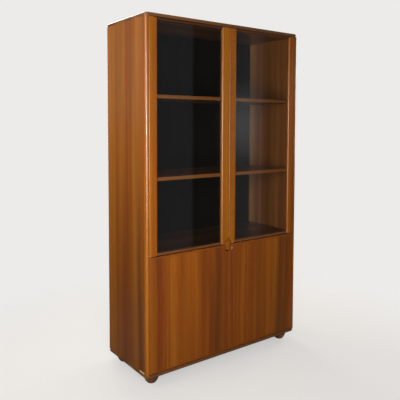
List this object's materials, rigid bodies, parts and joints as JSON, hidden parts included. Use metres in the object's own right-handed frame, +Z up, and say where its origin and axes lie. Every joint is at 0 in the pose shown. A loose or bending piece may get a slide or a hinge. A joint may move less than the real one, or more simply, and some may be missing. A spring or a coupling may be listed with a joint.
{
  "type": "bookcase with glass doors",
  "caption": "Tall free-standing bookcase: glazed upper doors over solid lower doors on pivot hinges, an oval finger hole where they meet, inner shelves and turned feet.",
  "frame": {"origin": "on the floor, under the middle of the carcass", "axes": "+X towards the viewer's right when facing the doors, +Y from the doors to the back panel, +Z up"},
  "size_m": [1.2, 0.48, 2.137],
  "materials": {
    "veneer": "satin walnut veneer",
    "solid_walnut": "satin solid walnut",
    "door_veneer": "satin walnut veneer",
    "shelf_wood": "satin walnut",
    "dark_back": "matt dark board",
    "turned_wood": "satin turned walnut",
    "brass": "polished",
    "steel": "brushed",
    "catch_plastic": "matt brown",
    "glass": "clear"
  },
  "bodies": {
    "carcass": {"top_panel": "veneer", "base_panel": "veneer", "side_panel_left": "veneer", "side_panel_right": "veneer", "front_post_left": "solid_walnut", "front_post_right": "solid_walnut", "back_panel": "dark_back", "middle_shelf": "shelf_wood", "upper_shelf_high": "shelf_wood", "upper_shelf_low": "shelf_wood", "lower_shelf": "shelf_wood", "upper_pin_high_left_front": "steel", "upper_pin_high_left_rear": "steel", "upper_pin_high_right_front": "steel", "upper_pin_high_right_rear": "steel", "upper_pin_low_left_front": "steel", "upper_pin_low_left_rear": "steel", "upper_pin_low_right_front": "steel", "upper_pin_low_right_rear": "steel", "lower_pin_left_front": "steel", "lower_pin_left_rear": "steel", "lower_pin_right_front": "steel", "lower_pin_right_rear": "steel", "foot_front_left": "turned_wood", "foot_front_right": "turned_wood", "foot_rear_left": "turned_wood", "foot_rear_right": "turned_wood", "blank_plate": "brass", "upper_magnet_catch": "catch_plastic", "lower_magnet_catch": "catch_plastic", "top_pivot_left": "steel", "top_pivot_right": "steel", "middle_pivot_bracket_left": "steel", "middle_pivot_bracket_right": "steel", "base_pivot_left": "steel", "base_pivot_right": "steel"},
    "upper_left_door": {"upper_door_left_hinge_stile": "solid_walnut", "upper_door_left_meeting_stile": "solid_walnut", "upper_door_left_top_rail": "solid_walnut", "upper_door_left_bottom_rail": "solid_walnut", "upper_door_left_glass": "glass", "upper_door_left_top_bush": "brass", "upper_door_left_bottom_bush": "brass", "upper_door_left_strike": "steel"},
    "upper_right_door": {"upper_door_right_hinge_stile": "solid_walnut", "upper_door_right_meeting_stile": "solid_walnut", "upper_door_right_top_rail": "solid_walnut", "upper_door_right_bottom_rail": "solid_walnut", "upper_door_right_glass": "glass", "upper_door_right_top_bush": "brass", "upper_door_right_bottom_bush": "brass", "upper_door_right_strike": "steel"},
    "lower_left_door": {"lower_door_left_panel": "door_veneer", "lower_door_left_top_bush": "brass", "lower_door_left_bottom_bush": "brass", "lower_door_left_strike": "steel"},
    "lower_right_door": {"lower_door_right_panel": "door_veneer", "lower_door_right_top_bush": "brass", "lower_door_right_bottom_bush": "brass", "lower_door_right_strike": "steel"}
  },
  "joints": [
    {"name": "upper_left_door_hinge", "type": "hinge", "parent": "carcass", "child": "upper_left_door", "pos_m": [-0.566, -0.231, 1.43925], "axis": [0, 0, -1], "range_deg": [0, 105]},
    {"name": "upper_right_door_hinge", "type": "hinge", "parent": "carcass", "child": "upper_right_door", "pos_m": [0.566, -0.231, 1.43925], "axis": [0, 0, 1], "range_deg": [0, 105]},
    {"name": "lower_left_door_hinge", "type": "hinge", "parent": "carcass", "child": "lower_left_door", "pos_m": [-0.566, -0.231, 0.42075], "axis": [0, 0, -1], "range_deg": [0, 105]},
    {"name": "lower_right_door_hinge", "type": "hinge", "parent": "carcass", "child": "lower_right_door", "pos_m": [0.566, -0.231, 0.42075], "axis": [0, 0, 1], "range_deg": [0, 105]}
  ]
}
